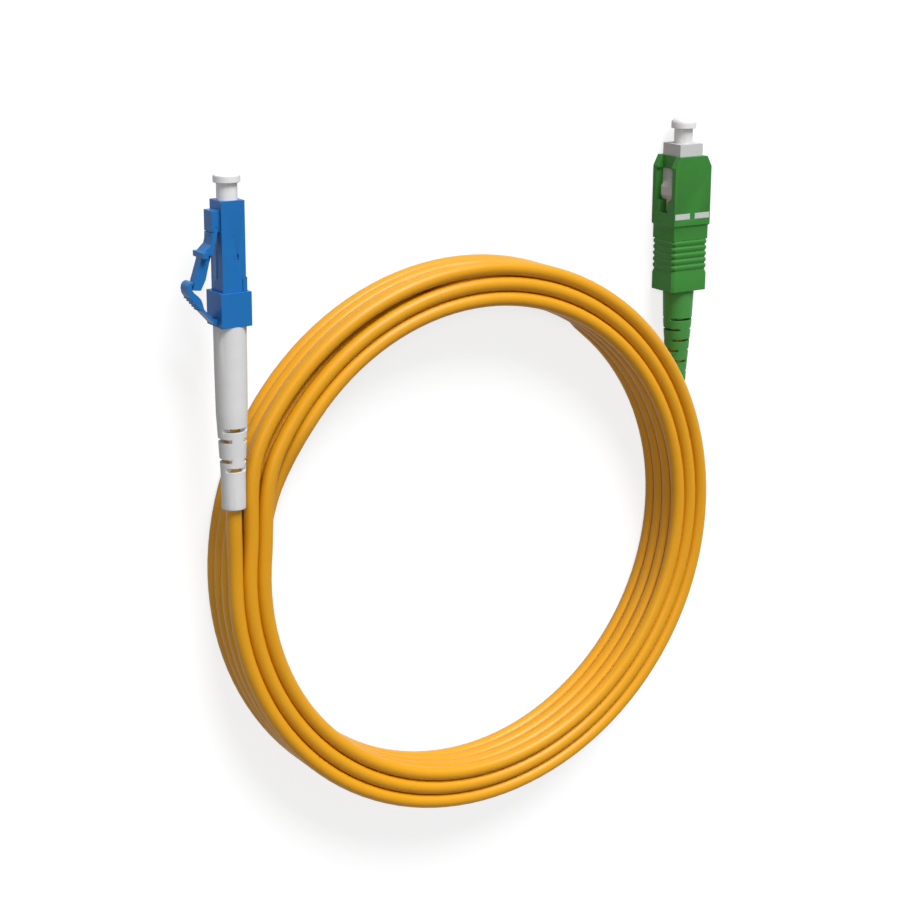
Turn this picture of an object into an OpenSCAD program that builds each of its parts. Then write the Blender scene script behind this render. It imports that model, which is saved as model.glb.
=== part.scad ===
// Fibre optic patch cord: an LC plug and an SC plug on one coiled simplex cord.
// The coil lies flat on z = 0 and both plugs point along +Y. Units are millimetres.

/* [Cord] */
// Outside diameter of the cord's jacket
cord_d = 2.8; // [2.4:0.1:2.9]
// Diameter of the buffered fibre inside the jacket
buffer_d = 0.9; // [0.8:0.05:0.92]

/* [Coil] */
// Radius of the coil's outer centre line
coil_r = 53.3; // [50:0.1:58]
// Free gap between one turn and the next
turn_gap = 0.5; // [0.5:0.05:0.7]

/* [Placing] */
// Height of the LC boot's end above the coil's centre, along Y
lc_boot_y = 15.2; // [13:0.1:20]
// Height of the SC boot's end above the coil's centre, along Y
sc_boot_y = 24.5; // [24:0.5:28]
// How far the LC plug's axis lies below the top layer of the coil
lc_drop = 0.5; // [0:0.1:0.5]
// How far the LC plug's axis lies outside the coil's outer centre line
lc_outset = 0.3; // [0.3:0.1:1]
// How far the SC plug's axis lies inside the coil's outer centre line
sc_inset = 2.4; // [1:0.1:2.5]

/* [LC plug] */
// Width of the square LC plug
lc_plug_w = 4.52; // [4.4:0.02:4.7]
// Length of the LC plug ahead of its clip body
lc_plug_len = 15.9; // [15.4:0.1:17]
// Width of the square clip body
lc_clip_w = 5.9; // [5.7:0.1:6.4]
// Length of the clip body
lc_clip_len = 6.1; // [6:0.1:7]
// Depth of the round mouth in the LC nose
lc_mouth_len = 3; // [2.6:0.1:3.2]
// Thickness of the wall that stops the LC ferrule's flange
lc_wall = 1.2; // [0.8:0.1:1.4]
// Diameter of the LC ferrule
lc_ferrule_d = 1.25; // [1.25:0.05:1.4]
// Length of the LC ferrule
lc_ferrule_len = 6.5; // [6.2:0.1:7]
// How far the LC ferrule stands out of the nose
lc_ferrule_out = 1.6; // [1.3:0.1:1.7]
// Diameter of the bore behind the LC stop wall
lc_bore_d = 3; // [2.9:0.05:3.2]

/* [LC latch and trigger] */
// Width of the latch at its root
latch_w = 3.15; // [2.8:0.05:3.3]
// Width of the latch behind its ears
latch_tail_w = 2; // [1.8:0.1:2.4]
// Width across the latch's two ears
latch_ears_w = 4.3; // [4:0.1:4.5]
// Length of the latch's fixed root block
latch_root_len = 3.7; // [3.4:0.1:3.9]
// Width of the trigger
trigger_w = 2.9; // [2.4:0.1:3.2]
// Radius of the pivots of the latch and the trigger
pivot_r = 0.5; // [0.45:0.05:0.55]

/* [SC plug] */
// Width of the SC grip
sc_grip_w = 9; // [8.8:0.1:9.6]
// Thickness of the SC grip
sc_grip_d = 7.4; // [7.2:0.1:8]
// Length of the SC grip
sc_grip_len = 27.1; // [26.8:0.1:29]
// Width of the square SC plug frame
sc_frame_w = 5.6; // [5.4:0.05:5.7]
// How far the plug frame stands out of the grip
sc_nose_len = 2.4; // [2.2:0.1:2.8]
// Depth of the round mouth in the SC nose
sc_mouth_len = 3.4; // [3.2:0.1:3.8]
// Thickness of the wall that stops the SC ferrule's flange
sc_wall = 1.4; // [1:0.1:1.6]
// Diameter of the SC ferrule
sc_ferrule_d = 2.5; // [2.4:0.05:2.6]
// Length of the SC ferrule
sc_ferrule_len = 10.5; // [10:0.1:11]
// How far the SC ferrule stands out of the nose
sc_ferrule_out = 2.6; // [2.2:0.1:2.8]
// Diameter of the bore behind the SC stop wall
sc_bore_d = 4.5; // [4.4:0.05:4.7]
// Number of ribs on the SC grip
sc_ribs = 5; // [3:1:6]
// How far the SC grip pulls back to unlatch
sc_travel = 1.8; // [1.2:0.1:2]

/* [Boots] */
// Visible length of the LC boot
lc_boot_len = 33.5; // [31:0.5:36]
// Diameter of the LC boot at the clip body
lc_boot_d = 5.9; // [5.4:0.1:5.9]
// Diameter of the LC boot at its cord end
lc_boot_end_d = 4.4; // [4.1:0.1:4.8]
// Visible length of the SC boot
sc_boot_len = 19.2; // [18.6:0.2:22]
// Diameter of the SC boot inside the grip's rear opening
sc_boot_d = 6.3; // [5.8:0.05:6.3]
// Diameter of the SC boot at its cord end
sc_boot_end_d = 4.1; // [4:0.1:4.6]
// Height of the flex slots in the LC boot
lc_slot_h = 0.8; // [0.4:0.1:0.9]
// Height of the flex slots in the SC boot
sc_slot_h = 0.5; // [0.3:0.05:0.6]
// Number of slot levels in the SC boot
sc_slot_levels = 6; // [4:1:6]

/* [Dust caps] */
// Diameter of both caps' stems
cap_stem_d = 3.7; // [3.5:0.05:3.75]
// Diameter of the LC cap's flat head
lc_cap_head_d = 4.8; // [4.4:0.1:5.4]
// Thickness of the LC cap's head
lc_cap_head_h = 1.35; // [1:0.05:1.7]
// Diameter of the SC cap's rounded head
sc_cap_head_d = 5; // [4.6:0.1:5.6]
// Height of the SC cap's head
sc_cap_head_h = 2; // [1.8:0.1:2.6]
// Length of a cap's stem ahead of the nose
cap_stem_len = 3; // [2.9:0.1:3.4]

/* [Springs] */
// Wire diameter of the LC spring
lc_wire = 0.35; // [0.25:0.05:0.4]
// Wire diameter of the SC spring
sc_wire = 0.5; // [0.35:0.05:0.55]
// Turns of the LC spring
lc_turns = 5; // [4:1:6]
// Turns of the SC spring
sc_turns = 6; // [4:1:7]

/* [Fits] */
// Running clearance on each side of a pin or pivot
run_gap = 0.04; // [0.02:0.01:0.08]
// Clearance on each side of a sliding shell
slide_gap = 0.05; // [0.03:0.01:0.08]
// Loose clearance round the cord inside a boot
cord_gap = 0.1; // [0.05:0.05:0.2]

/* [Hidden] */
$fn = 64;
eps = 0.01;

// Colours
lc_blue = [0.12, 0.38, 0.68];
sc_green = [0.22, 0.5, 0.2];
cord_yellow = [0.98, 0.66, 0.13];
cap_white = [0.86, 0.86, 0.86];
frame_grey = [0.72, 0.72, 0.73];
zirconia = [0.95, 0.95, 0.93];
steel = [0.62, 0.63, 0.66];
brass = [0.8, 0.65, 0.3];
ptfe = [0.93, 0.95, 0.98];
yarn = [0.93, 0.8, 0.25];

// ---- Coil: four layers of three turns, wound inwards and outwards by turns ----
cord_r = cord_d / 2;
pitch = cord_d + turn_gap;
coil_rings = 24;
coil_sides = 6;
coil_steps = 11.5 * coil_rings;
// Each turn's place, in rows inwards from the outside and in layers down from the top
turn_row = [0, 1, 2, 2, 1, 0, 0, 1, 2, 2, 1, 0];
turn_layer = [0, 0, 0, 1, 1, 1, 2, 2, 2, 3, 3, 3];
// Rings of each turn between which it passes into the next turn's place
pass_from = [21, 21, 20, 18, 18, 17, 15, 15, 14, 13, 13];
pass_to = [23, 23, 21, 20, 20, 18, 17, 17, 15, 14, 14];
coil_low = cord_r * cos(180 / coil_sides);
coil_top = coil_low + max(turn_layer) * pitch;

// ---- Lengths down each plug, counted from its nose towards the boot ----
lc_clip_end = lc_plug_len + lc_clip_len;
lc_nose_y = lc_boot_y + lc_boot_len + lc_clip_end;
lc_end = lc_clip_end + lc_boot_len;
sc_grip_end = sc_nose_len + sc_grip_len;
sc_nose_y = sc_boot_y + sc_boot_len + sc_grip_end;
sc_end = sc_grip_end + sc_boot_len;

lc_x = -coil_r - lc_outset;
lc_z = coil_top - lc_drop;
sc_x = coil_r - sc_inset;
sc_z = sc_grip_d / 2;

// LC inside
lc_neck_w = 3.8;
lc_neck_len = 3.5;
lc_neck_end = lc_plug_len + lc_neck_len;
lc_stop = lc_mouth_len + lc_wall;
lc_ferrule_end = lc_ferrule_len - lc_ferrule_out;
lc_flange_front = lc_stop + slide_gap;
lc_flange_end = lc_flange_front + 2;
lc_flange_d = lc_bore_d - 0.3;
lc_spring_len = 5.2;
lc_seat = lc_flange_end + lc_spring_len;
lc_spring_r = lc_bore_d / 2 - lc_wire;
lc_tube_d = buffer_d + 0.3;
lc_post_d = 2.6;
lc_post_end = lc_clip_end + 5;
lc_collar_len = 0.8;
lc_sleeve_id = 2.9;
lc_sleeve_d = 3.5;
lc_sleeve_end = lc_post_end + 3.5;
lc_hub_d = 4.2;
lc_hub_front = lc_neck_end + lc_collar_len + 0.1;

// SC inside
sc_stop = sc_mouth_len + sc_wall;
sc_ferrule_end = sc_ferrule_len - sc_ferrule_out;
sc_flange_front = sc_stop + slide_gap;
sc_flange_end = sc_flange_front + 4;
sc_flange_d = sc_bore_d - 0.3;
sc_spring_len = 7;
sc_seat = sc_flange_end + sc_spring_len;
sc_spring_r = sc_bore_d / 2 - sc_wire - 0.1;
sc_tube_d = buffer_d + 0.7;
sc_frame_end = 21.5;
sc_collar_len = 1.2;
sc_post_d = 3;
sc_post_end = sc_grip_end;
sc_sleeve_id = 3.3;
sc_sleeve_d = 4;
sc_sleeve_end = sc_post_end + 3.5;
sc_hub_d = 5.4;
sc_hub_front = sc_frame_end + sc_collar_len + 0.2;

// SC grip: body, waist with ribs, end block
sc_body_end = sc_nose_len + 14;
sc_rib_start = sc_body_end + 2.7;
sc_rib_end = sc_grip_end - 4.2;
sc_waist_cut = 0.25;
sc_rib_cut = 0.32;
sc_end_cut = 0.08;
sc_corner = 0.5;
sc_neck_w = 2.4;
sc_neck_front = 6.75;
sc_bump_w = 3.8;
sc_bump_front = 7.5;
sc_bump_end = 11.2;
sc_bump_tail = 13.4;
sc_bump_x = sc_frame_w / 2 + 0.95;
sc_collar_run = 1.3;

// Latch and trigger profiles: how far out of the face, and how far behind the nose
latch_top = 1.6;
latch_out = 1.47;
latch_pivot = [latch_out / 2, latch_top + latch_root_len - 0.3];
trigger_pivot = [-0.1, 0.85];

// Rows of points along the two free stretches of cord
lc_run = [[-coil_r, cord_d, coil_top], [-coil_r, 4.4, coil_top], [lc_x, 9.5, lc_z + 0.1],
    [lc_x, lc_boot_y, lc_z], [lc_x, lc_boot_y + 6, lc_z], [lc_x, lc_boot_y + 12, lc_z],
    [lc_x, lc_boot_y + 18, lc_z], [lc_x, lc_nose_y - lc_post_end, lc_z]];
sc_run = [[coil_r, cord_d, coil_low], [coil_r, 6, coil_low], [coil_r - 0.2, 12, 1.6],
    [coil_r - 0.6, 18, sc_z - 1.4], [sc_x + 0.8, sc_boot_y - 3, sc_z - 0.6], [sc_x, sc_boot_y, sc_z],
    [sc_x, sc_boot_y + 6, sc_z], [sc_x, sc_boot_y + 12, sc_z], [sc_x, sc_nose_y - sc_post_end, sc_z]];

// The origin is the middle of the foot of the box round both plugs
trigger_out = 5.6;
shift_x = (lc_x - lc_clip_w / 2 - trigger_out + sc_x + sc_grip_w / 2) / 2;
shift_y = (lc_boot_y + sc_nose_y + cap_stem_len + sc_cap_head_h) / 2;

// ---- Tubes swept along a row of points ----
function unit(v) = v / norm(v);
function heading(p, i) = unit(p[min(i + 1, len(p) - 1)] - p[max(i - 1, 0)]);
function across(p, i) = unit(cross(heading(p, i), [0, 0, 1]));
function above(p, i) = cross(across(p, i), heading(p, i));
function ring(p, i, r, sides, turn) = [
    for (k = [0 : sides - 1])
        let (a = turn + 360 * k / sides)
            p[i] + r * cos(a) * across(p, i) + r * sin(a) * above(p, i)];

module swept_tube(p, r, sides, turn = 0) {
    n = len(p);
    points = [for (i = [0 : n - 1]) each ring(p, i, r, sides, turn)];
    first = [for (k = [sides - 1 : -1 : 0]) k];
    last = [for (k = [0 : sides - 1]) (n - 1) * sides + k];
    walls = [
        for (i = [0 : n - 2])
            for (k = [0 : sides - 1])
                let (a = i * sides + k, b = i * sides + (k + 1) % sides)
                    each [[a, b, a + sides], [b, b + sides, a + sides]]];
    polyhedron(points = points, faces = concat([first], walls, [last]), convexity = 10);
}

// ---- The coil's route ----
function passed(i, k) =
    min(max((i - k * coil_rings - pass_from[k]) / (pass_to[k] - pass_from[k]), 0), 1);
function place(i, list) =
    let (steps = [for (k = [0 : len(pass_from) - 1]) passed(i, k) * (list[k + 1] - list[k])])
        list[0] + steps * [for (step = steps) 1];
function coil_point(i) =
    let (a = 180 + 360 * i / coil_rings, r = coil_r - pitch * place(i, turn_row))
        [r * cos(a), r * sin(a), coil_top - pitch * place(i, turn_layer)];
coil_path = concat([[-coil_r, cord_d, coil_top]], [for (i = [0 : coil_steps]) coil_point(i)],
    [[coil_r, cord_d, coil_low]]);

// Least distance between rings that lie more than a third of a turn apart, less the cord
function ring_gap(p) = min([
    for (i = [0 : len(p) - 1])
        for (j = [i + 8 : len(p) - 1])
            norm(p[i] - p[j])]) - cord_d;
function run_length(p) =
    let (steps = [for (i = [1 : len(p) - 1]) norm(p[i] - p[i - 1])]) steps * [for (step = steps) 1];

module cable_coil() {
    echo(coil_gap_mm = ring_gap(coil_path), cord_length_mm = run_length(coil_path)
        + run_length(lc_run) + run_length(sc_run));
    color(cord_yellow) lay() swept_tube(coil_path, cord_r, coil_sides);
}

module cable_lead_lc() {
    color(cord_yellow) lay() swept_tube(lc_run, cord_r, coil_sides);
}

module cable_lead_sc() {
    color(cord_yellow) lay() swept_tube(sc_run, cord_r, coil_sides);
}

// ---- Placing: the cord's frame, and each plug's own frame with its nose at z = 0, tip up ----
module lay() {
    translate([-shift_x, -shift_y, 0]) children();
}

module at_lc() {
    lay() translate([lc_x, lc_nose_y, lc_z]) rotate([-90, 0, 0]) children();
}

module at_sc() {
    lay() translate([sc_x, sc_nose_y, sc_z]) rotate([-90, 0, 0]) children();
}

// ---- Shapes that both plugs share ----
// A bar of square or oblong section from one depth behind the nose to another
module bar(w, d, from, to) {
    translate([-w / 2, -d / 2, -to]) cube([w, d, to - from]);
}

// A round rod between two depths behind the nose
module rod(d, from, to) {
    translate([0, 0, -to]) cylinder(d = d, h = to - from);
}

module sleeve(d, bore, from, to) {
    difference() {
        rod(d, from, to);
        rod(bore, from - 1, to + 1);
    }
}

// A spring between two depths, as one helix
module coil_spring(r, wire, turns, from, to) {
    low = to - wire / 2;
    high = from + wire / 2;
    path = [
        for (i = [0 : turns * 10])
            [r * cos(36 * i), r * sin(36 * i), -low + (low - high) * i / (turns * 10)]];
    swept_tube(path, wire / 2, 6, 30);
}

// The ferrule, with a chamfered tip
module ferrule(d, len, out, tip) {
    rotate_extrude() polygon([
        [0, out - len], [d / 2, out - len], [d / 2, out - tip], [d / 2 - tip, out], [0, out]]);
}

// The flange that holds the ferrule: a wide shoulder with the ferrule's seat in front
module flange(d, ferrule_d, front, ferrule_end, end, bore) {
    difference() {
        union() {
            rod(d, front, end - 0.6);
            rod(d - 0.5, end - 0.8, end);
        }
        rod(ferrule_d, front - 1, ferrule_end);
        rod(bore, ferrule_end - 1, end + 1);
    }
}

// Flex slots: at each level a pair of straight cuts, turned a quarter from the pair before
module flex_slot(depth, h, turned, r) {
    chord = cord_r * 0.82;
    rotate([0, 0, turned ? 90 : 0])
        for (side = [-1, 1])
            translate([side * (chord + r) - r, -r, -depth - h / 2]) cube([2 * r, 2 * r, h]);
}

// ---- LC plug ----
module lc_housing() {
    slot_x = 0.75;
    slit_x = 1.6;
    rail_w = 0.3;
    shoulder = 0.22;
    shoulder_len = 2.5;
    color(lc_blue) at_lc() difference() {
        union() {
            bar(lc_plug_w, lc_plug_w, 0, lc_plug_len);
            translate([0, -lc_plug_w / 2, -lc_plug_len])
                cube([lc_plug_w / 2 + shoulder, lc_plug_w, shoulder_len]);
            bar(lc_neck_w, lc_neck_w, lc_plug_len - 1, lc_neck_end);
            translate([-lc_plug_w / 2 - latch_out, -latch_w / 2, -latch_top - latch_root_len])
                cube([latch_out + 0.5, latch_w, latch_root_len]);
            translate([-lc_plug_w / 2 - 0.12, -rail_w / 2, -13.6]) cube([0.5, rail_w, 5]);
        }
        rod(cap_stem_d + 2 * run_gap, -1, lc_mouth_len);
        rod(lc_ferrule_d + 0.3, 0, lc_stop + 1);
        rod(lc_bore_d, lc_stop, lc_neck_end + 1);
        translate([-lc_plug_w / 2 - latch_pivot[0], latch_w, -latch_pivot[1]])
            rotate([90, 0, 0]) cylinder(r = pivot_r + run_gap, h = 2 * latch_w);
        // key slot and slit in the front face
        translate([slot_x - 0.14, -lc_plug_w, -10.4]) cube([0.28, lc_plug_w / 2 + 0.3, 1.1]);
        translate([slit_x - 0.05, -lc_plug_w, -lc_plug_len - 1])
            cube([0.1, lc_plug_w / 2 + 0.25, 3.1]);
    }
}

// The latch's side view, as [out of the plug's face, behind the nose]; its tail ends by the clip body
latch_side = [
    [0.45, latch_pivot[1]], [1, latch_pivot[1]], [1, latch_pivot[1] + 0.4],
    [latch_out, latch_pivot[1] + 0.4], [latch_out + 0.03, latch_pivot[1] + 1.6],
    [1.72, lc_plug_len - 8.5], [2.2, lc_plug_len - 8.05], [3.1, lc_plug_len - 7.2],
    [3.5, lc_plug_len - 5.8], [5.15, lc_plug_len - 0.8], [3.55, lc_plug_len - 0.6],
    [2.6, lc_plug_len - 2.4], [1.85, lc_plug_len - 5.3], [1.3, lc_plug_len - 7],
    [0.75, latch_pivot[1] + 2], [0.45, latch_pivot[1] + 0.5]];
ear_front = lc_plug_len - 7.25;
ear_end = ear_front + 1;

module latch_slab(w, from, to) {
    translate([-lc_plug_w / 2, w / 2, 0]) rotate([90, 0, 0]) linear_extrude(height = w)
        intersection() {
            polygon([for (p = latch_side) [-p[0], -p[1]]]);
            translate([-8, -to]) square([8, to - from]);
        }
}

module lc_latch() {
    color(lc_blue) at_lc() union() {
        latch_slab(latch_w, latch_pivot[1] - 1, ear_front + 0.6);
        latch_slab(latch_tail_w, ear_front, lc_plug_len);
        translate([-lc_plug_w / 2 - latch_pivot[0], latch_w / 2, -latch_pivot[1]])
            rotate([90, 0, 0]) cylinder(r = pivot_r, h = latch_w);
        // the two ears that hook behind the adapter's shoulders
        translate([-lc_plug_w / 2 - 3.45, -latch_ears_w / 2, -ear_end])
            cube([1, latch_ears_w, ear_end - ear_front]);
    }
}

// The trigger's side view, as [out of the clip body's face, ahead of its rear end]
trigger_side = [
    [0.1, 0.35], [0.75, 0.75], [2.8, 3], [5.1, 5.7], [5.45, 6.3], [trigger_out, 7.1],
    [5.5, 7.7], [5.25, 8.1], [4.85, 8.35], [4.38, 8.38], [4.22, 8.28], [4.6, 8], [4.78, 7.5],
    [4.7, 7], [4.35, 6.5], [3.6, 5.85], [3.05, 5.2], [2.8, 4.5], [2.55, 3.5], [1.94, 2.75],
    [0.45, 1.3]];
teeth = 5;
tooth_from = [-2.8, 3];
tooth_to = [-5.1, 5.7];

// One grip tooth, with its root sunk into the slope
module tooth() {
    polygon([[-0.24, -0.15], [0.24, -0.15], [0.08, 0.2], [-0.08, 0.2]]);
}

module trigger_slab() {
    translate([-lc_clip_w / 2, trigger_w / 2, -lc_clip_end]) rotate([90, 0, 0])
        linear_extrude(height = trigger_w) children();
}

module lc_trigger() {
    slope = tooth_to - tooth_from;
    color(lc_blue) at_lc() union() {
        trigger_slab() polygon([for (p = trigger_side) [-p[0], p[1]]]);
        trigger_slab() translate([-trigger_pivot[0], trigger_pivot[1]]) circle(r = pivot_r);
        // grip teeth along the outer slope
        for (i = [0 : teeth - 1])
            trigger_slab() translate(tooth_from + slope * (i + 0.5) / teeth)
                rotate(atan2(slope[1], slope[0])) tooth();
    }
}

module lc_clip_body() {
    color(lc_blue) at_lc() difference() {
        bar(lc_clip_w, lc_clip_w, lc_plug_len, lc_clip_end);
        bar(lc_neck_w + 2 * slide_gap, lc_neck_w + 2 * slide_gap, lc_plug_len - 1, lc_neck_end);
        rod(lc_hub_d + 2 * slide_gap, lc_neck_end, lc_clip_end + 1);
        // socket for the trigger's pivot, open to the side and the rear
        translate([-lc_clip_w / 2, 0, -lc_clip_end]) {
            translate([-trigger_pivot[0], trigger_w / 2 + slide_gap, trigger_pivot[1]])
                rotate([90, 0, 0])
                    cylinder(r = pivot_r + run_gap, h = trigger_w + 2 * slide_gap);
        }
    }
}

module lc_ferrule() {
    color(zirconia) at_lc() ferrule(lc_ferrule_d, lc_ferrule_len, lc_ferrule_out, 0.2);
}

module lc_ferrule_flange() {
    color(brass) at_lc()
        flange(lc_flange_d, lc_ferrule_d, lc_flange_front, lc_ferrule_end, lc_flange_end,
            buffer_d + slide_gap);
}

module lc_spring() {
    color(steel) at_lc()
        coil_spring(lc_spring_r, lc_wire, lc_turns, lc_flange_end + eps, lc_seat - eps);
}

module lc_guide_tube() {
    color(ptfe) at_lc() sleeve(lc_tube_d, buffer_d + slide_gap, lc_flange_end, lc_seat + 2);
}

module lc_fiber_buffer() {
    color(cord_yellow) at_lc() rod(buffer_d, lc_ferrule_end, lc_post_end - 1.2);
}

module lc_backbone() {
    color(frame_grey) at_lc() difference() {
        union() {
            rod(lc_bore_d, lc_seat, lc_neck_end);
            rod(lc_neck_w, lc_neck_end, lc_neck_end + lc_collar_len);
            rod(lc_post_d, lc_neck_end, lc_post_end);
        }
        rod(lc_tube_d + 0.2, lc_seat - 1, lc_post_end + 1);
    }
}

module lc_yarn_collar() {
    color(yarn) at_lc()
        sleeve(lc_sleeve_id, lc_post_d, lc_neck_end + lc_collar_len + 0.6, lc_post_end - 0.3);
}

module lc_crimp_sleeve() {
    color(steel) at_lc()
        sleeve(lc_sleeve_d, lc_sleeve_id, lc_neck_end + lc_collar_len + 0.3, lc_sleeve_end);
}

module lc_boot() {
    front = lc_clip_end;
    slots = [18.7, 20.7, 24.45, 26.05];
    color(cap_white) at_lc() difference() {
        union() {
            rod(lc_hub_d, lc_hub_front, front + 0.5);
            rotate_extrude() polygon([
                [0, -front], [lc_boot_d / 2, -front], [lc_boot_d / 2 - 0.05, -front - 9],
                [lc_boot_d / 2 - 0.13, -front - 16], [lc_boot_d / 2 - 0.3, -front - 19],
                [lc_boot_end_d / 2 + 0.1, -front - 25.5], [lc_boot_end_d / 2 + 0.04, -front - 27],
                [lc_boot_end_d / 2, -lc_end + 0.15], [lc_boot_end_d / 2 - 0.15, -lc_end], [0, -lc_end]]);
        }
        rod(lc_sleeve_d + 2 * slide_gap, lc_hub_front - 1, lc_sleeve_end + 0.3);
        rod(cord_d + 2 * cord_gap, lc_sleeve_end, lc_end + 1);
        for (i = [0 : len(slots) - 1])
            flex_slot(front + slots[i], lc_slot_h, i == 0 || i == 3, lc_boot_d / 2);
    }
}

module lc_dust_cap() {
    cap_bore = lc_ferrule_d + 2 * run_gap;
    color(cap_white) at_lc() difference() {
        union() {
            rod(cap_stem_d, -cap_stem_len - 0.2, lc_mouth_len - 0.6);
            translate([0, 0, cap_stem_len]) cylinder(d = lc_cap_head_d, h = lc_cap_head_h - 0.15);
            translate([0, 0, cap_stem_len + lc_cap_head_h - 0.15])
                cylinder(d1 = lc_cap_head_d, d2 = lc_cap_head_d - 0.3, h = 0.15);
        }
        rod(cap_bore, -lc_ferrule_out - 0.4, lc_mouth_len);
    }
}

// ---- SC plug ----
// One part of a latch hook, from its side view
module hook_part(w, side_view) {
    translate([0, w / 2, 0]) rotate([90, 0, 0]) linear_extrude(height = w) polygon(side_view);
}

module sc_plug_frame() {
    color(frame_grey) at_sc() difference() {
        union() {
            bar(sc_frame_w, sc_frame_w, 0, sc_frame_end);
            // latch hooks on both narrow sides: a neck, a wide bump and a tail
            for (side = [0, 1]) mirror([side, 0, 0]) {
                hook_part(sc_neck_w, [[0, -sc_neck_front], [sc_frame_w / 2 + 0.2, -sc_neck_front],
                    [sc_frame_w / 2 + 0.35, -sc_bump_front], [sc_frame_w / 2 + 0.35, -sc_bump_end],
                    [0, -sc_bump_end]]);
                hook_part(sc_bump_w, [[0, -sc_bump_front], [sc_frame_w / 2 + 0.3, -sc_bump_front],
                    [sc_bump_x, -sc_bump_front - 1.1], [sc_bump_x, -sc_bump_end + 1],
                    [sc_bump_x - 0.45, -sc_bump_end], [0, -sc_bump_end]]);
                translate([0, -0.55, -sc_bump_tail])
                    cube([sc_bump_x - 0.5, 1.1, sc_bump_tail - sc_bump_end + 0.5]);
            }
        }
        rod(cap_stem_d + 2 * run_gap, -1, sc_mouth_len);
        rod(sc_ferrule_d + 0.4, 0, sc_stop + 1);
        rod(sc_bore_d, sc_stop, sc_frame_end + 1);
    }
}

// One length of the grip's rear part, drawn in by a cut and with its long edges bevelled
module grip_block(cut, from, to) {
    w = sc_grip_w / 2 - cut;
    d = sc_grip_d / 2 - cut;
    translate([0, 0, -to]) linear_extrude(height = to - from) polygon([
        [w, sc_corner - d], [w, d - sc_corner], [w - sc_corner, d], [sc_corner - w, d],
        [-w, d - sc_corner], [-w, sc_corner - d], [sc_corner - w, -d], [w - sc_corner, -d]]);
}

// One rib: a ridge that rises from the drawn-in part and falls back to it
module rib(from, len) {
    hull() {
        grip_block(sc_rib_cut, from + 0.05 * len, from + 0.95 * len);
        grip_block(sc_rib_cut - 0.2, from + 0.3 * len, from + 0.6 * len);
    }
}

module sc_grip() {
    rib_pitch = (sc_rib_end - sc_rib_start) / sc_ribs;
    end_slope = 0.8;
    waist_slope = 0.3;
    window_w = 5.2;
    window_front = 4.9;
    channel_w = 4.4;
    slot_w = 2.6;
    chamfer_in = 1.1;
    chamfer_len = 2.1;
    side_floor = sc_grip_w / 2 - 1.3;
    waist_w = sc_grip_w - 2 * sc_waist_cut;
    waist_d = sc_grip_d - 2 * sc_waist_cut;
    color(sc_green) at_sc() difference() {
        union() {
            bar(sc_grip_w, sc_grip_d, sc_nose_len, sc_body_end - waist_slope);
            hull() {
                bar(sc_grip_w, sc_grip_d, sc_body_end - 1, sc_body_end - waist_slope);
                bar(waist_w, waist_d, sc_body_end - 1, sc_body_end);
            }
            bar(waist_w, waist_d, sc_body_end - 1, sc_rib_start);
            grip_block(sc_rib_cut, sc_rib_start - 0.5, sc_rib_end + 0.5);
            for (i = [0 : sc_ribs - 1]) rib(sc_rib_start + i * rib_pitch, rib_pitch);
            hull() {
                grip_block(sc_rib_cut, sc_rib_end, sc_grip_end);
                grip_block(sc_end_cut, sc_rib_end + end_slope, sc_grip_end);
            }
        }
        // bevelled shoulders at the front
        for (side = [0, 1]) mirror([side, 0, 0])
            translate([0, sc_grip_d, 0]) rotate([90, 0, 0]) linear_extrude(height = 2 * sc_grip_d)
                polygon([
                    [sc_grip_w / 2 - chamfer_in, -sc_nose_len + 1], [sc_grip_w / 2 + 1, -sc_nose_len + 1],
                    [sc_grip_w / 2 + 1, -sc_nose_len - chamfer_len],
                    [sc_grip_w / 2, -sc_nose_len - chamfer_len],
                    [sc_grip_w / 2 - chamfer_in, -sc_nose_len]]);
        // bore for the plug frame, and the wider one for the boot's collar
        bar(sc_frame_w + 2 * slide_gap, sc_frame_w + 2 * slide_gap, sc_nose_len - 1, sc_grip_end + 1);
        rod(sc_boot_d + 0.15, sc_grip_end - sc_collar_run - sc_travel - 0.2, sc_grip_end + 1);
        for (side = [0, 1]) mirror([side, 0, 0]) {
            // shallow channel from the front edge, then the hooks' window and a narrow slot behind it
            translate([side_floor, -channel_w / 2, -window_front - 0.1])
                cube([2, channel_w, window_front + 0.1]);
            translate([0, -window_w / 2, -sc_bump_end - 0.1])
                cube([sc_grip_w, window_w, sc_bump_end + 0.1 - window_front]);
            translate([0, -slot_w / 2, -sc_bump_tail - 0.3]) cube([sc_grip_w, slot_w, 4]);
        }
        // seats of the two marks on the front face
        for (side = [-1, 1]) mark(side, 0);
    }
}

// One painted bar, set into the front face
module mark(side, proud) {
    mark_w = 3.65;
    mark_len = 1.15;
    translate([side * 2.45 - mark_w / 2, -sc_grip_d / 2 - proud, -sc_nose_len - 12.4])
        cube([mark_w, 0.15 + proud, mark_len]);
}

module sc_index_bars() {
    color("white") at_sc() for (side = [-1, 1]) mark(side, 0.02);
}

module sc_ferrule() {
    color(zirconia) at_sc() ferrule(sc_ferrule_d, sc_ferrule_len, sc_ferrule_out, 0.3);
}

module sc_ferrule_flange() {
    color(brass) at_sc()
        flange(sc_flange_d, sc_ferrule_d, sc_flange_front, sc_ferrule_end, sc_flange_end,
            buffer_d + slide_gap);
}

module sc_spring() {
    color(steel) at_sc()
        coil_spring(sc_spring_r, sc_wire, sc_turns, sc_flange_end + eps, sc_seat - eps);
}

module sc_guide_tube() {
    color(ptfe) at_sc() sleeve(sc_tube_d, buffer_d + slide_gap, sc_flange_end, sc_seat + 2);
}

module sc_fiber_buffer() {
    color(cord_yellow) at_sc() rod(buffer_d, sc_ferrule_end, sc_post_end - 1.2);
}

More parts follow.
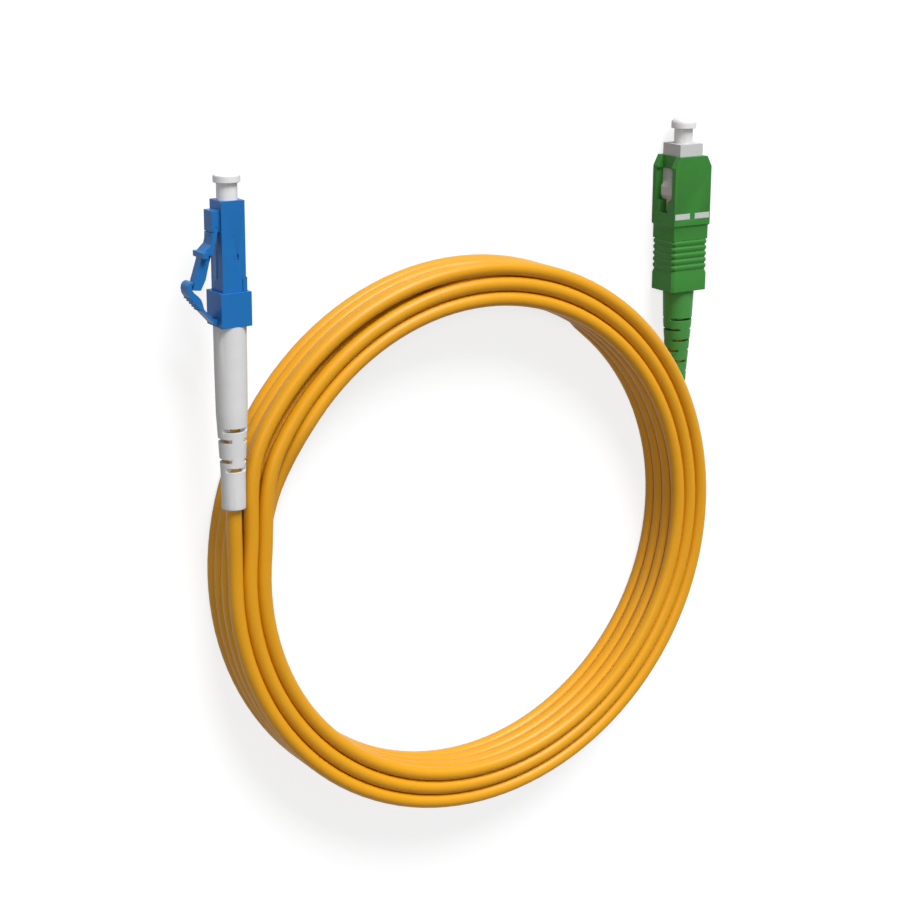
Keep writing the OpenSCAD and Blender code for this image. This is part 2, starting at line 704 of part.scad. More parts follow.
module sc_backbone() {
    color(frame_grey) at_sc() difference() {
        union() {
            rod(sc_bore_d, sc_seat, sc_frame_end);
            bar(sc_frame_w - 0.1, sc_frame_w - 0.1, sc_frame_end, sc_frame_end + sc_collar_len);
            rod(sc_post_d, sc_frame_end, sc_post_end);
        }
        rod(sc_tube_d + 0.2, sc_seat - 1, sc_post_end + 1);
    }
}

module sc_yarn_collar() {
    color(yarn) at_sc()
        sleeve(sc_sleeve_id, sc_post_d, sc_frame_end + sc_collar_len + 0.8, sc_post_end - 0.3);
}

module sc_crimp_sleeve() {
    color(steel) at_sc()
        sleeve(sc_sleeve_d, sc_sleeve_id, sc_frame_end + sc_collar_len + 0.5, sc_sleeve_end);
}

module sc_boot() {
    front = sc_grip_end;
    slot_pitch = 2.2;
    color(sc_green) at_sc() difference() {
        union() {
            rod(sc_hub_d, sc_hub_front, front);
            rotate_extrude() polygon([
                [0, -front + sc_collar_run], [sc_boot_d / 2, -front + sc_collar_run],
                [sc_boot_d / 2, -front],
                [sc_boot_d / 2 - 0.25, -front - 6.5], [sc_boot_end_d / 2 + 0.14, -sc_end + 3.2],
                [sc_boot_end_d / 2, -sc_end + 0.15], [sc_boot_end_d / 2 - 0.15, -sc_end], [0, -sc_end]]);
        }
        rod(sc_sleeve_d + 2 * slide_gap, sc_hub_front - 1, sc_sleeve_end + 0.3);
        rod(cord_d + 2 * cord_gap, sc_sleeve_end, sc_end + 1);
        for (i = [0 : sc_slot_levels - 1])
            flex_slot(front + 6 + i * slot_pitch, sc_slot_h, i % 2 == 0, sc_boot_d / 2);
    }
}

module sc_dust_cap() {
    cap_bore = sc_ferrule_d + 2 * run_gap;
    head_r = sc_cap_head_d / 2;
    round_r = 1.1;
    color(cap_white) at_sc() difference() {
        union() {
            rod(cap_stem_d, -cap_stem_len - 0.2, sc_mouth_len - 0.6);
            translate([0, 0, cap_stem_len]) cylinder(r = head_r - round_r, h = sc_cap_head_h);
            translate([0, 0, cap_stem_len]) cylinder(r = head_r, h = sc_cap_head_h - round_r);
            translate([0, 0, cap_stem_len + sc_cap_head_h - round_r])
                rotate_extrude() translate([head_r - round_r, 0]) circle(r = round_r);
        }
        rod(cap_bore, -sc_ferrule_out - 0.4, sc_mouth_len);
    }
}

lc_dust_cap();
lc_housing();
lc_latch();
lc_trigger();
lc_clip_body();
lc_ferrule();
lc_ferrule_flange();
lc_spring();
lc_guide_tube();
lc_fiber_buffer();
lc_backbone();
lc_yarn_collar();
lc_crimp_sleeve();
lc_boot();
sc_dust_cap();
sc_plug_frame();
sc_grip();
sc_index_bars();
sc_ferrule();
sc_ferrule_flange();
sc_spring();
sc_guide_tube();
sc_fiber_buffer();
sc_backbone();
sc_yarn_collar();
sc_crimp_sleeve();
sc_boot();
cable_lead_lc();
cable_lead_sc();
cable_coil();
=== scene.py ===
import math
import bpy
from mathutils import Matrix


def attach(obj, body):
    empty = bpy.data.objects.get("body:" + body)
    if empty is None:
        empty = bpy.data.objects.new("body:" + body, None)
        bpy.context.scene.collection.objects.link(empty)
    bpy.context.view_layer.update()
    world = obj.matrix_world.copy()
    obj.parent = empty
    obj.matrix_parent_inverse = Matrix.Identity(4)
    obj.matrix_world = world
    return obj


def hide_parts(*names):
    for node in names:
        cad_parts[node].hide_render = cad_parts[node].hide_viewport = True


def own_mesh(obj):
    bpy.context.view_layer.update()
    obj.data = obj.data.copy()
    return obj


bl_info = {
    "name": "Fibre Patch Cord",
    "version": (1, 0, 0),
    "blender": (4, 5, 0),
    "location": "View3D > Sidebar > Patch Cord",
    "description": "Dresses a coiled fibre patch cord with an LC plug and an SC plug",
    "category": "Add Mesh",
}

import bmesh
import bpy
import numpy as np
from bpy.props import FloatProperty, FloatVectorProperty, PointerProperty
from mathutils import Matrix, Vector

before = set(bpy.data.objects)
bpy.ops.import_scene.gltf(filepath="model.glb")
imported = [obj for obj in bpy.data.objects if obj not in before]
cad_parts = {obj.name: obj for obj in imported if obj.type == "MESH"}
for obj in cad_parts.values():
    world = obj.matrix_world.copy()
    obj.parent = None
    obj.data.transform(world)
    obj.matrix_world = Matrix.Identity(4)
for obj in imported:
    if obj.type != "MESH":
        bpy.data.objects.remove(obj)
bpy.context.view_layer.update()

MM = 0.001
ROOT = "cord_and_plugs"

# Where things lie in the part's frame, in millimetres
COIL_CENTRE = np.array([3.375, -46.7, 0.0])
LC_AXIS = (-50.225, 10.6124)
SC_AXIS = (54.275, 3.7)
LC_NOSE_Y, SC_NOSE_Y = 24.0, 26.5
# How far behind each nose the jacket ends, and how far behind the LC nose the boot does
LC_JACKET_END, SC_JACKET_END, LC_BOOT_END = 27.0, 29.5, 55.5
CORD_SIDES = 16


# ---- Sizes and colours that a user would change ----
def length(name, text, value, low, high):
    return FloatProperty(
        name=name, description=text, default=value * MM, min=low * MM, max=high * MM,
        unit="LENGTH", precision=5,
    )


def colour(name, text, value):
    return FloatVectorProperty(
        name=name, description=text, default=value, size=3, min=0, max=1, subtype="COLOR"
    )


class CordSizes(bpy.types.PropertyGroup):
    diameter: length("Diameter", "Outside diameter of the jacket", 2.82, 2.4, 3.0)
    coil_radius: length("Coil radius", "Radius of the outer turns' centre line", 53.3, 50, 58)
    spacing: length("Turn spacing", "Distance from one turn's line to the next", 2.86, 2.8, 3.4)
    jacket: colour("Jacket", "Colour of the jacket", (0.66, 0.298, 0.004))


class PlugSizes(bpy.types.PropertyGroup):
    edge: length("Edge radius", "Radius of the moulded edges", 0.09, 0.02, 0.2)
    lc_plastic: colour("LC plastic", "Colour of the LC plug", (0.015, 0.15, 0.43))
    sc_plastic: colour("SC plastic", "Colour of the SC plug", (0.042, 0.21, 0.036))
    cap_plastic: colour("Cap plastic", "Colour of the dust caps", (0.76, 0.76, 0.76))
    boot_plastic: colour("White boot", "Colour of the LC boot", (0.68, 0.68, 0.68))
    boot_green: colour("Green boot", "Colour of the SC boot", (0.06, 0.25, 0.056))
    grey_plastic: colour("Grey plastic", "Colour of the SC plug frame", (0.54, 0.545, 0.54))


class StageSettings(bpy.types.PropertyGroup):
    floor_size: FloatProperty(
        name="Floor size", description="Side of the square floor",
        default=6, min=1, max=20, unit="LENGTH",
    )
    floor_colour: colour("Floor", "Colour of the floor", (0.33, 0.33, 0.33))
    floor_glow: FloatProperty(
        name="Floor glow", description="What the floor adds to its own colour where it is seen",
        default=0.76, min=0, max=1,
    )
    top_strength: FloatProperty(
        name="Top lamp", description="Strength of the soft lamp beyond the plugs",
        default=4.0, min=0, max=8,
    )
    front_strength: FloatProperty(
        name="Front lamp", description="Strength of the lamp beside the camera",
        default=0.6, min=0, max=8,
    )
    sky_strength: FloatProperty(
        name="Sky", description="Strength of the light from all round", default=0.17, min=0, max=2
    )


# ---- Node helpers ----
def wire(tree, source, target):
    tree.links.new(source, target)


def add_node(tree, kind, settings=None, **inputs):
    """One node, with attributes from settings and input defaults by name (spaces as underscores)."""
    made = tree.nodes.new(kind)
    for key, value in (settings or {}).items():
        setattr(made, key, value)
    for key, value in inputs.items():
        made.inputs[key.replace("_", " ")].default_value = value
    return made


def new_group(name, inputs, outputs):
    """A shader node group with float or colour sockets; returns its tree and its two end nodes."""
    tree = bpy.data.node_groups.new(name, "ShaderNodeTree")
    for label, kind, value in inputs:
        socket = tree.interface.new_socket(label, in_out="INPUT", socket_type=kind)
        socket.default_value = value
    for label, kind in outputs:
        tree.interface.new_socket(label, in_out="OUTPUT", socket_type=kind)
    return tree, tree.nodes.new("NodeGroupInput"), tree.nodes.new("NodeGroupOutput")


def math_node(tree, operation, a, b):
    made = add_node(tree, "ShaderNodeMath", {"operation": operation})
    for socket, value in zip(made.inputs, (a, b)):
        if isinstance(value, (int, float)):
            socket.default_value = value
        else:
            wire(tree, value, socket)
    return made.outputs[0]


FLOAT, COLOUR, VECTOR = "NodeSocketFloat", "NodeSocketColor", "NodeSocketVector"


def skin_group():
    """Moulded plastic: cloudy tint, fine grain and smudged gloss, from noise on the given place."""
    if "moulded_skin" in bpy.data.node_groups:
        return bpy.data.node_groups["moulded_skin"]
    tree, start, end = new_group(
        "moulded_skin",
        [
            ("Place", VECTOR, (0, 0, 0)),
            ("Colour", COLOUR, (0.5, 0.5, 0.5, 1)),
            ("Spread", FLOAT, 0.06),
            ("Cloud Scale", FLOAT, 400.0),
            ("Grain Scale", FLOAT, 6000.0),
            ("Gloss", FLOAT, 0.35),
            ("Smudge", FLOAT, 0.08),
        ],
        [("Colour", COLOUR), ("Roughness", FLOAT), ("Height", FLOAT)],
    )
    cloud = add_node(tree, "ShaderNodeTexNoise", Detail=3.0, Roughness=0.55)
    grain = add_node(tree, "ShaderNodeTexNoise", Detail=2.0, Roughness=0.6)
    smudge = add_node(tree, "ShaderNodeTexNoise", Scale=220.0, Detail=4.0, Roughness=0.6)
    for node in (cloud, grain, smudge):
        wire(tree, start.outputs["Place"], node.inputs["Vector"])
    wire(tree, start.outputs["Cloud Scale"], cloud.inputs["Scale"])
    wire(tree, start.outputs["Grain Scale"], grain.inputs["Scale"])
    centred = math_node(tree, "SUBTRACT", cloud.outputs["Fac"], 0.5)
    spread = math_node(tree, "MULTIPLY", centred, start.outputs["Spread"])
    factor = math_node(tree, "MULTIPLY_ADD", spread, 2.0)
    factor.node.inputs[2].default_value = 1.0
    tint = add_node(tree, "ShaderNodeVectorMath", {"operation": "SCALE"})
    wire(tree, start.outputs["Colour"], tint.inputs[0])
    wire(tree, factor, tint.inputs["Scale"])
    wire(tree, tint.outputs[0], end.inputs["Colour"])
    rough = math_node(tree, "SUBTRACT", smudge.outputs["Fac"], 0.5)
    rough = math_node(tree, "MULTIPLY", rough, start.outputs["Smudge"])
    rough = math_node(tree, "MULTIPLY_ADD", rough, 2.0)
    wire(tree, start.outputs["Gloss"], rough.node.inputs[2])
    wire(tree, rough, end.inputs["Roughness"])
    wire(tree, grain.outputs["Fac"], end.inputs["Height"])
    return tree


def plastic(name, rgb, gloss=0.35, smudge=0.06, spread=0.05, grain=6000.0, cloud=400.0,
            depth=0.000004, subsurface=0.0, stretch=None, uv=False, ior=1.5, metallic=0.0,
            sheen=0.0, coat=0.0, specular=0.12):
    """A moulded, drawn or extruded surface. stretch scales the pattern along each axis, and uv takes it
    from the piece's own map, whose first coordinate runs along the piece."""
    made = bpy.data.materials.get(name)
    if made:
        return made
    made = bpy.data.materials.new(name)
    made.use_nodes = True
    tree = made.node_tree
    shader = tree.nodes["Principled BSDF"]
    shader.inputs["IOR"].default_value = ior
    shader.inputs["Metallic"].default_value = metallic
    shader.inputs["Specular IOR Level"].default_value = specular
    shader.inputs["Sheen Weight"].default_value = sheen
    shader.inputs["Coat Weight"].default_value = coat
    if subsurface:
        shader.inputs["Subsurface Weight"].default_value = subsurface
        shader.inputs["Subsurface Scale"].default_value = 0.0008
        shader.inputs["Subsurface Radius"].default_value = (1.0, 0.8, 0.6)
    place = add_node(tree, "ShaderNodeTexCoord")
    socket = place.outputs["UV" if uv else "Object"]
    if stretch:
        mapping = add_node(tree, "ShaderNodeMapping", Scale=stretch)
        wire(tree, socket, mapping.inputs["Vector"])
        socket = mapping.outputs["Vector"]
    skin = tree.nodes.new("ShaderNodeGroup")
    skin.node_tree = skin_group()
    wire(tree, socket, skin.inputs["Place"])
    values = {"Colour": (*rgb, 1), "Spread": spread, "Cloud Scale": cloud, "Grain Scale": grain,
              "Gloss": gloss, "Smudge": smudge}
    for key, value in values.items():
        skin.inputs[key].default_value = value
    bump = add_node(tree, "ShaderNodeBump", Strength=0.6, Distance=depth)
    wire(tree, skin.outputs["Height"], bump.inputs["Height"])
    wire(tree, skin.outputs["Colour"], shader.inputs["Base Color"])
    wire(tree, skin.outputs["Roughness"], shader.inputs["Roughness"])
    wire(tree, bump.outputs["Normal"], shader.inputs["Normal"])
    return made


# ---- Mesh helpers ----
def flat_mesh(name, points, faces):
    mesh = bpy.data.meshes.new(name)
    mesh.from_pydata(points.tolist(), [], faces.tolist())
    mesh.update()
    made = bpy.data.objects.new(name, mesh)
    bpy.context.scene.collection.objects.link(made)
    return made


def dress(piece, material, body, slot, *nodes):
    """The piece's finish, the body that carries it, and the solids that it stands for."""
    piece.data.materials.clear()
    piece.data.materials.append(material)
    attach(piece, body)
    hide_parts(*nodes)
    return piece


def tube(name, path, radius, sides):
    """A round tube along a path: at each point a ring of radius r in the plane across the path, its
    first direction level and its second standing up from it. The map runs along the tube's length in
    metres and once round it."""
    heading = np.gradient(path, axis=0)
    heading /= np.linalg.norm(heading, axis=1)[:, None]
    level = np.cross(heading, [0, 0, 1.0])
    level /= np.linalg.norm(level, axis=1)[:, None]
    rise = np.cross(level, heading)
    angle = np.arange(sides) * 2 * np.pi / sides
    rings = path[:, None] + radius * (
        np.cos(angle)[None, :, None] * level[:, None] + np.sin(angle)[None, :, None] * rise[:, None]
    )
    count = len(path)
    row, side = np.meshgrid(np.arange(count - 1), np.arange(sides), indexing="ij")
    after = (side + 1) % sides
    here, ahead = row * sides, (row + 1) * sides
    quads = np.stack([here + side, here + after, ahead + after, ahead + side], -1).reshape(-1, 4)
    points = rings.reshape(-1, 3)
    reach = np.concatenate([[0], np.cumsum(np.linalg.norm(np.diff(path, axis=0), axis=1))])
    around = np.stack([side, side + 1, side + 1, side], -1).reshape(-1, 4) / sides
    along = np.stack([reach[row], reach[row], reach[row + 1], reach[row + 1]], -1).reshape(-1, 4)
    faces = quads.tolist()
    faces.append(list(range(sides))[::-1])
    faces.append([(count - 1) * sides + k for k in range(sides)])
    mesh = bpy.data.meshes.new(name)
    mesh.from_pydata(points.tolist(), [], faces)
    layer = mesh.uv_layers.new(name="UVMap")
    uv = np.zeros((len(mesh.loops), 2))
    uv[: quads.size, 0] = along.ravel()
    uv[: quads.size, 1] = around.ravel()
    layer.data.foreach_set("uv", uv.ravel())
    mesh.update()
    mesh.polygons.foreach_set("use_smooth", np.ones(len(mesh.polygons), bool))
    mesh.set_sharp_from_angle(angle=math.radians(50))
    made = bpy.data.objects.new(name, mesh)
    bpy.context.scene.collection.objects.link(made)
    return made


# The largest face that is taken for a facet of a curve, in square metres
WIDEST_FACET = 8 * MM**2


def moulded_copy(name, node, edge, angle=28):
    """The CAD node's own shape with its triangles merged into whole faces, and rounded edges. Only
    small faces that meet a neighbour at a slight angle are smoothed."""
    work = bmesh.new()
    work.from_mesh(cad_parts[node].data)
    bmesh.ops.remove_doubles(work, verts=work.verts, dist=2e-6)
    bmesh.ops.dissolve_limit(
        work, angle_limit=math.radians(0.5), verts=work.verts, edges=work.edges, delimit={"NORMAL"}
    )
    for face in work.faces:
        turns = [edge.calc_face_angle(0) for edge in face.edges]
        curved = any(math.radians(1) < turn < math.radians(angle) for turn in turns)
        face.smooth = curved and face.calc_area() < WIDEST_FACET
    mesh = bpy.data.meshes.new(name)
    work.to_mesh(mesh)
    work.free()
    mesh.set_sharp_from_angle(angle=math.radians(angle))
    made = bpy.data.objects.new(name, mesh)
    bpy.context.scene.collection.objects.link(made)
    if edge:
        bevel = made.modifiers.new("rounded edges", "BEVEL")
        bevel.width = edge
        bevel.segments = 2
        bevel.limit_method = "ANGLE"
        bevel.angle_limit = math.radians(angle)
        bevel.miter_outer = "MITER_ARC"
    return made


# ---- The cord's route ----
# Each turn's place, in rows inwards from the outside and layers up from the floor
TURN_ROW = np.array([0, 1, 2, 2, 1, 0, 0, 1, 2, 2, 1, 0], float)
TURN_LAYER = np.array([3, 3, 3, 2, 2, 2, 1, 1, 1, 0, 0, 0], float)
# Parts of a turn over which each turn passes into the next one's place
PASS_FROM = np.array([0.92, 0.92, 0.89, 0.755, 0.755, 0.725, 0.70, 0.70, 0.675, 0.645, 0.645])
PASS_TO = np.array([0.985, 0.985, 0.95, 0.80, 0.80, 0.77, 0.745, 0.745, 0.715, 0.69, 0.69])
# Before its first pass the cord swings out a little, so as to duck under the LC boot
SWING, SWING_FROM, SWING_FULL, SWING_BACK, SWING_END = 1.3, 0.70, 0.90, 0.91, 0.97
# In its third turn it bulges inwards where it drops a layer; both in millimetres and turns
BULGE, BULGE_FROM, BULGE_FULL, BULGE_BACK, BULGE_END = 0.8, 2.89, 2.94, 2.95, 3.03
TURNS = 11.5
POINTS_A_TURN = 120


def ease(t):
    """A smooth step from 0 to 1, level at both ends."""
    t = np.clip(t, 0, 1)
    return t * t * (3 - 2 * t)


def there_and_back(t, start, full, back, end):
    """0 up to start, eased to 1 by full, and from back eased to 0 again by end."""
    return ease((t - start) / (full - start)) * (1 - ease((t - back) / (end - back)))


def place_in(values, turns):
    """The value of the turn that each point is in, eased into the next turn's where it passes over."""
    k = np.arange(len(PASS_FROM))
    share = ease((turns[:, None] - k - PASS_FROM) / (PASS_TO - PASS_FROM))
    return values[0] + share @ np.diff(values)


def smooth_run(points, step):
    """A line through the points in even steps, rounded by a Catmull-Rom spline."""
    p = np.array(points, float)
    p = np.vstack([2 * p[0] - p[1], p, 2 * p[-1] - p[-2]])
    parts = []
    for a, b, c, d in zip(p[:-3], p[1:-2], p[2:-1], p[3:]):
        t = np.linspace(0, 1, max(int(np.linalg.norm(c - b) / step), 2), endpoint=False)[:, None]
        parts.append(
            0.5 * (2 * b + (c - a) * t + (2 * a - 5 * b + 4 * c - d) * t**2
                   + (3 * b - a - 3 * c + d) * t**3)
        )
    return np.vstack(parts + [p[-2][None]])


def cord_route(sizes):
    """From the LC plug's crimp post down into the coil, round it, and up into the SC plug's, in metres.
    A turn is a circle of its row's radius at its layer's height."""
    radius, step = sizes.coil_radius / MM, sizes.spacing / MM
    lowest = sizes.diameter / MM / 2 + 0.01
    turns = np.linspace(0, TURNS, int(TURNS * POINTS_A_TURN) + 1)
    swing = SWING * there_and_back(turns, SWING_FROM, SWING_FULL, SWING_BACK, SWING_END)
    bulge = BULGE * there_and_back(turns, BULGE_FROM, BULGE_FULL, BULGE_BACK, BULGE_END)
    r = radius - step * place_in(TURN_ROW, turns) + swing - bulge
    z = lowest + step * place_in(TURN_LAYER, turns)
    a = np.pi * (1 + 2 * turns)
    coil = np.stack([r * np.cos(a), r * np.sin(a), z], 1)
    top = lowest + 3 * step
    lc_x, lc_z = LC_AXIS[0] - COIL_CENTRE[0], LC_AXIS[1]
    sc_x, sc_z = SC_AXIS[0] - COIL_CENTRE[0], SC_AXIS[1]
    lc_end = LC_NOSE_Y - COIL_CENTRE[1] - LC_JACKET_END
    sc_end = SC_NOSE_Y - COIL_CENTRE[1] - SC_JACKET_END
    lc_lead = smooth_run(
        [[lc_x, lc_end, lc_z], [lc_x, 36, lc_z], [lc_x, 27, lc_z], [lc_x, 18, lc_z],
         [lc_x + 0.06, 12, lc_z - 0.18], [-radius - 0.06, 6, top + 0.1], [-radius, 1.6, top]], 1.6)
    sc_lead = smooth_run(
        [[radius, 1.6, lowest], [radius, 6, lowest], [radius - 0.2, 12, 1.75],
         [radius - 0.6, 18, sc_z - 1.35], [sc_x + 0.8, 21.5, sc_z - 0.55], [sc_x, 25, sc_z],
         [sc_x, 31, sc_z], [sc_x, 37, sc_z], [sc_x, sc_end, sc_z]], 1.6)
    return (np.vstack([lc_lead, coil, sc_lead]) + COIL_CENTRE) * MM


class PATCHCORD_OT_cord(bpy.types.Operator):
    """Makes the jacketed cord: both leads and the coil, as one tube"""

    bl_idname = "patchcord.cord"
    bl_label = "Cord"

    def execute(self, context):
        sizes = context.scene.patch_cord
        path = cord_route(sizes)
        piece = tube("cord", path, sizes.diameter / 2, CORD_SIDES)
        jacket = plastic("cord jacket", tuple(sizes.jacket), gloss=0.42, smudge=0.08, spread=0.05,
                         grain=900.0, cloud=60.0, depth=0.00001, specular=0.35, uv=True,
                         stretch=(1.0, 0.0088, 1.0))
        dress(piece, jacket, ROOT, "cord_jacket", "cable_coil", "cable_lead_lc", "cable_lead_sc")
        return {"FINISHED"}


# ---- The plugs ----
def carry(body, slot, material, edge, *nodes):
    """A rounded copy of each node, finished and riding on its body."""
    for node in nodes:
        dress(moulded_copy(node + "_skin", node, edge), material, body, slot, node)


class PATCHCORD_OT_lc_plug(bpy.types.Operator):
    """Makes the LC plug: housing, latch, clip body and trigger"""

    bl_idname = "patchcord.lc_plug"
    bl_label = "LC plug"

    def execute(self, context):
        plug = context.scene.patch_plugs
        blue = plastic("blue plug plastic", tuple(plug.lc_plastic), gloss=0.34)
        carry(ROOT, "lc_blue", blue, plug.edge, "lc_housing", "lc_clip_body")
        carry("lc_latch_lever", "lc_blue", blue, plug.edge, "lc_latch")
        carry("lc_trigger_lever", "lc_blue", blue, plug.edge * 0.6, "lc_trigger")
        return {"FINISHED"}


class PATCHCORD_OT_sc_plug(bpy.types.Operator):
    """Makes the SC plug: outer grip with its two marks, and the plug frame"""

    bl_idname = "patchcord.sc_plug"
    bl_label = "SC plug"

    def execute(self, context):
        plug = context.scene.patch_plugs
        green = plastic("green plug plastic", tuple(plug.sc_plastic), gloss=0.36)
        grey = plastic("grey frame plastic", tuple(plug.grey_plastic), gloss=0.4)
        mark = plastic("white mark ink", (0.53, 0.545, 0.53), gloss=0.5)
        carry("sc_outer_grip", "sc_green", green, plug.edge, "sc_grip")
        carry("sc_outer_grip", "mark_white", mark, 0, "sc_index_bars")
        carry(ROOT, "frame_grey", grey, plug.edge, "sc_plug_frame")
        return {"FINISHED"}


class PATCHCORD_OT_boots(bpy.types.Operator):
    """Makes the two slotted strain relief boots"""

    bl_idname = "patchcord.boots"
    bl_label = "Boots"

    def execute(self, context):
        plug = context.scene.patch_plugs
        white = plastic("white boot rubber", tuple(plug.boot_plastic), gloss=0.5)
        green = plastic("green boot rubber", tuple(plug.boot_green), gloss=0.48)
        carry(ROOT, "boot_white", white, plug.edge * 0.5, "lc_boot")
        carry(ROOT, "boot_green", green, plug.edge * 0.5, "sc_boot")
        return {"FINISHED"}


class PATCHCORD_OT_dust_caps(bpy.types.Operator):
    """Makes the dust caps on both plugs' noses"""

    bl_idname = "patchcord.dust_caps"
    bl_label = "Dust caps"

    def execute(self, context):
        plug = context.scene.patch_plugs
        white = plastic("white cap plastic", tuple(plug.cap_plastic), gloss=0.4, specular=0.25)
        carry("lc_cap", "cap_white", white, plug.edge, "lc_dust_cap")
        carry("sc_cap", "cap_white", white, plug.edge, "sc_dust_cap")
        return {"FINISHED"}


class PATCHCORD_OT_inner_parts(bpy.types.Operator):
    """Finishes what lies inside both plugs: ferrules, flanges, springs, tubes, posts and crimps"""

    bl_idname = "patchcord.inner_parts"
    bl_label = "Inner parts"

    def execute(self, context):
        ceramic = plastic("zirconia", (0.82, 0.82, 0.79), gloss=0.12, smudge=0.02, coat=0.3, ior=2.0,
                          specular=0.5)
        brass = plastic("turned brass", (0.8, 0.56, 0.24), gloss=0.28, metallic=1.0)
        steel = plastic("spring steel", (0.6, 0.61, 0.63), gloss=0.3, metallic=1.0)
        tube_white = plastic("guide tube", (0.85, 0.87, 0.9), gloss=0.45, subsurface=0.3)
        buffer = plastic("fibre buffer", (0.83, 0.42, 0.03), gloss=0.4)
        grey = plastic("backbone plastic", (0.33, 0.33, 0.34), gloss=0.45)
        yarn = plastic("aramid yarn", (0.75, 0.52, 0.08), gloss=0.75, sheen=0.4, grain=9000.0,
                       stretch=(1, 0.06, 1), depth=0.00003)
        crimp = plastic("plated crimp", (0.66, 0.66, 0.67), gloss=0.3, metallic=1.0)
        for side, ferrule_body in (("lc", "lc_floating_ferrule"), ("sc", "sc_floating_ferrule")):
            carry(ferrule_body, "zirconia", ceramic, 0, f"{side}_ferrule")
            carry(ferrule_body, "flange_brass", brass, 0, f"{side}_ferrule_flange")
            carry(ferrule_body, "guide_ptfe", tube_white, 0, f"{side}_guide_tube")
            carry(ferrule_body, "buffer", buffer, 0, f"{side}_fiber_buffer")
            carry(ROOT, "backbone_grey", grey, 0, f"{side}_backbone")
            carry(ROOT, "aramid", yarn, 0, f"{side}_yarn_collar")
            carry(ROOT, "crimp_metal", crimp, 0, f"{side}_crimp_sleeve")
            spring = moulded_copy(f"{side}_spring_skin", f"{side}_spring", 0)
            dress(spring, steel, ROOT, "spring_steel", f"{side}_spring")
            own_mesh(spring)
        return {"FINISHED"}


# ---- Stage ----
AZIMUTH, ELEVATION, ROLL = math.radians(32.07), math.radians(15.30), math.radians(0.28)
CAMERA_DISTANCE, CAMERA_RIGHT, CAMERA_UP = 419.6, -1.10, 15.34
FOCAL_PIXELS, FRAME_PIXELS, SENSOR = 2120.0, 900.0, 36.0


def camera_axes():
    """Right, up and back of the camera: back leans from +Z to -X by the azimuth and to +Y by the
    elevation, and the other two are rolled about it."""
    back = Vector((
        -math.sin(AZIMUTH) * math.cos(ELEVATION), math.sin(ELEVATION),
        math.cos(AZIMUTH) * math.cos(ELEVATION),
    ))
    right = Vector((0, 1, 0)).cross(back).normalized()
    up = back.cross(right)
    return (
        right * math.cos(ROLL) + up * math.sin(ROLL),
        up * math.cos(ROLL) - right * math.sin(ROLL),
        back,
    )


def aim(thing, direction, distance=1.0):
    """Puts a lamp in a direction from the middle of the part, facing the middle."""
    direction = Vector(direction).normalized()
    thing.location = direction * distance
    thing.rotation_euler = direction.to_track_quat("Z", "Y").to_euler()


def seen_directly(tree):
    """1 for what the camera sees, straight or by gloss or glass, and 0 for the light of the scene."""
    path = add_node(tree, "ShaderNodeLightPath")
    seen = math_node(
        tree, "MAXIMUM", path.outputs["Is Camera Ray"], path.outputs["Is Transmission Ray"]
    )
    return math_node(tree, "MAXIMUM", seen, path.outputs["Is Glossy Ray"])


def pale_floor(settings):
    """Matt floor, which gains just enough of its own light to read as white where nothing shades it."""
    made = bpy.data.materials.new("pale floor")
    made.use_nodes = True
    tree = made.node_tree
    shader = tree.nodes["Principled BSDF"]
    shader.inputs["Base Color"].default_value = (*settings.floor_colour, 1)
    shader.inputs["Roughness"].default_value = 0.9
    shader.inputs["Specular IOR Level"].default_value = 0.0
    glow = math_node(tree, "MULTIPLY", seen_directly(tree), settings.floor_glow)
    shader.inputs["Emission Color"].default_value = (1, 1, 1, 1)
    wire(tree, glow, shader.inputs["Emission Strength"])
    return made


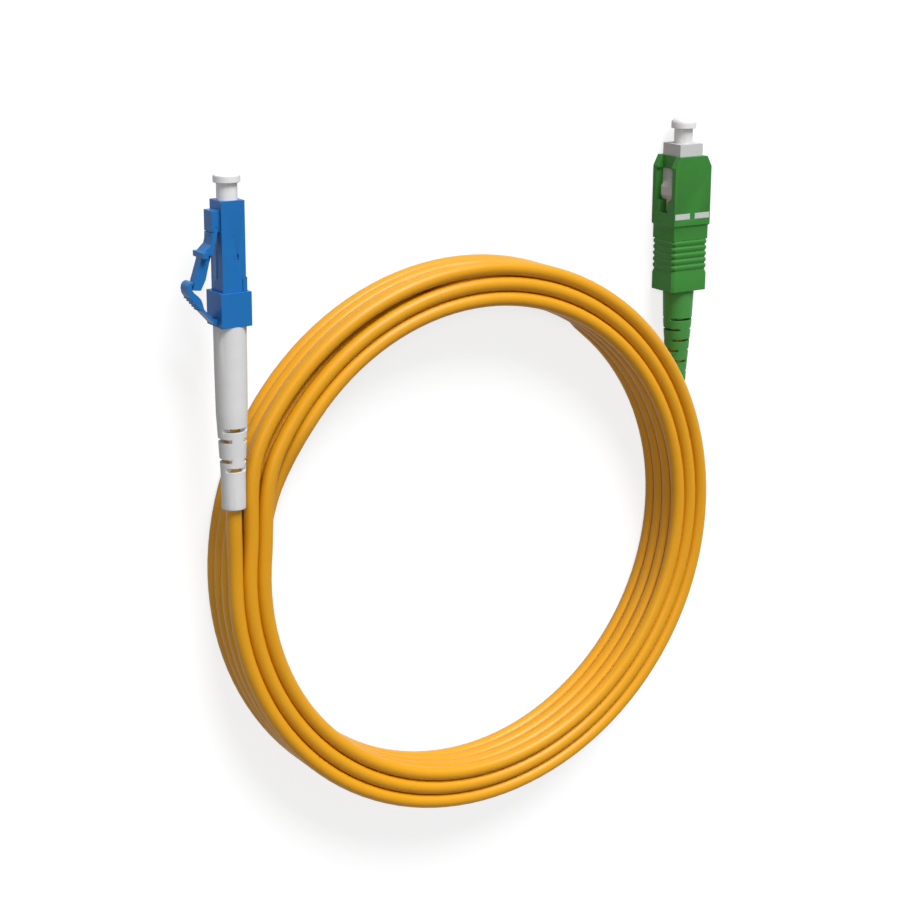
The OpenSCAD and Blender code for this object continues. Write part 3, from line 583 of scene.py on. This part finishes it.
class PATCHCORD_OT_stage(bpy.types.Operator):
    """Makes the floor, the lamps, the sky and the camera"""

    bl_idname = "patchcord.stage"
    bl_label = "Stage"

    def execute(self, context):
        settings = context.scene.patch_stage
        half = settings.floor_size / 2
        floor = flat_mesh(
            "floor",
            np.array([[-half, -half, 0], [half, -half, 0], [half, half, 0], [-half, half, 0]]),
            np.array([[0, 1, 2, 3]]),
        )
        floor.data.materials.append(pale_floor(settings))
        right, up, back = camera_axes()
        for name, side, strength, spread in (
            ("top lamp", (0.1, 0.85, 0.52), settings.top_strength, 30),
            ("front lamp", back, settings.front_strength, 15),
        ):
            lamp = bpy.data.lights.new(name, "SUN")
            lamp.energy = strength
            lamp.angle = math.radians(spread)
            made = bpy.data.objects.new(name, lamp)
            aim(made, side)
            context.scene.collection.objects.link(made)
        world = bpy.data.worlds.new("studio sky")
        context.scene.world = world
        world.use_nodes = True
        tree = world.node_tree
        background = tree.nodes["Background"]
        background.inputs["Color"].default_value = (1, 1, 1, 1)
        gap = math_node(tree, "MULTIPLY", seen_directly(tree), 1.0 - settings.sky_strength)
        wire(tree, math_node(tree, "ADD", gap, settings.sky_strength), background.inputs["Strength"])
        camera = bpy.data.cameras.new("camera")
        camera.lens = FOCAL_PIXELS / FRAME_PIXELS * SENSOR
        camera.sensor_width = SENSOR
        camera.clip_start, camera.clip_end = 0.01, 50
        made = bpy.data.objects.new("camera", camera)
        spot = back * CAMERA_DISTANCE + right * CAMERA_RIGHT + up * CAMERA_UP
        spot = (spot + Vector(COIL_CENTRE)) * MM
        made.matrix_world = Matrix.Translation(spot) @ Matrix((right, up, back)).transposed().to_4x4()
        context.scene.collection.objects.link(made)
        context.scene.camera = made
        context.scene.view_settings.view_transform = "Standard"
        return {"FINISHED"}


# ---- Panel and registering ----
PIECES = (
    PATCHCORD_OT_cord,
    PATCHCORD_OT_lc_plug,
    PATCHCORD_OT_sc_plug,
    PATCHCORD_OT_boots,
    PATCHCORD_OT_dust_caps,
    PATCHCORD_OT_inner_parts,
    PATCHCORD_OT_stage,
)
SETTINGS = (("patch_cord", CordSizes), ("patch_plugs", PlugSizes), ("patch_stage", StageSettings))


class PATCHCORD_PT_panel(bpy.types.Panel):
    """Lists the sizes, the colours and the pieces"""

    bl_label = "Patch Cord"
    bl_idname = "PATCHCORD_PT_panel"
    bl_space_type = "VIEW_3D"
    bl_region_type = "UI"
    bl_category = "Patch Cord"

    def draw(self, context):
        for name, group in SETTINGS:
            box = self.layout.box()
            for prop in group.__annotations__:
                box.prop(getattr(context.scene, name), prop)
        for piece in PIECES:
            self.layout.operator(piece.bl_idname)


def register():
    for _name, group in SETTINGS:
        bpy.utils.register_class(group)
    for piece in (*PIECES, PATCHCORD_PT_panel):
        bpy.utils.register_class(piece)
    for name, group in SETTINGS:
        setattr(bpy.types.Scene, name, PointerProperty(type=group))


def unregister():
    for name, _group in SETTINGS:
        delattr(bpy.types.Scene, name)
    for piece in (PATCHCORD_PT_panel, *reversed(PIECES)):
        bpy.utils.unregister_class(piece)
    for _name, group in reversed(SETTINGS):
        bpy.utils.unregister_class(group)


def main():
    register()
    for piece in PIECES:
        group, name = piece.bl_idname.split(".")
        getattr(getattr(bpy.ops, group), name)()


if __name__ == "__main__":
    main()
